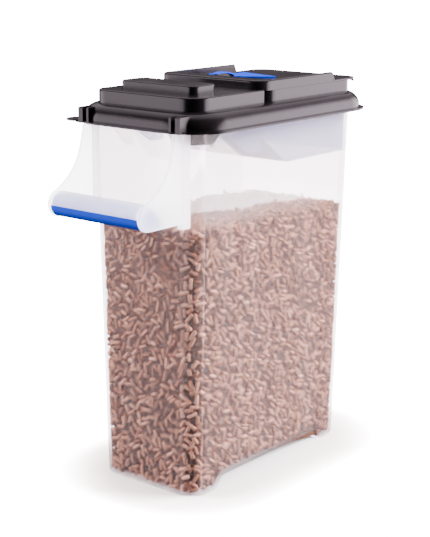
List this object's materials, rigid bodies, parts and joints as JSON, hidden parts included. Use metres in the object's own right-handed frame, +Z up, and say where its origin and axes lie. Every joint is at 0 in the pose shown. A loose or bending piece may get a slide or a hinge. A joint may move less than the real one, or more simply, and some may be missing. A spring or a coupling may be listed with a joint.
{
  "type": "pet food bin",
  "caption": "Tall translucent food bin with a front carry handle, a black lift-off lid and a hinged spout cover with a folding pull.",
  "frame": {"origin": "on the floor under the middle of the whole object, handle included", "axes": "+Z up, X along the bin's length with the handle at -X and the spout at +X, Y across its width"},
  "size_m": [0.3862, 0.1976, 0.4435],
  "materials": {
    "tub_plastic": "milky translucent",
    "bracket_plastic": "milky translucent",
    "blue_plastic": "satin",
    "feed_pellets": "dry pressed pellets",
    "lid_plastic": "satin",
    "seal_rubber": "matte",
    "chute_plastic": "frosted translucent",
    "pin_plastic": "satin"
  },
  "bodies": {
    "tub": {"container": "tub_plastic", "handle_bracket": "bracket_plastic", "grip_insert": "blue_plastic", "feed": "feed_pellets"},
    "lid_body": {"lid": "lid_plastic", "lid_seal": "seal_rubber", "pour_chute": "chute_plastic", "hinge_pins": "pin_plastic"},
    "cover": {"spout_cover": "lid_plastic"},
    "pull": {"pull_bail": "blue_plastic"}
  },
  "joints": [
    {"name": "lid_lift", "type": "slide", "parent": "tub", "child": "lid_body", "axis": [0, 0, 1], "range_m": [0, 0.12]},
    {"name": "cover_hinge", "type": "hinge", "parent": "lid_body", "child": "cover", "pos_m": [-0.0039, 0, 0.4382], "axis": [0, -1, 0], "range_deg": [0, 90]},
    {"name": "pull_hinge", "type": "hinge", "parent": "cover", "child": "pull", "pos_m": [0.0536, 0, 0.4372], "axis": [0, -1, 0], "range_deg": [0, 95]}
  ]
}
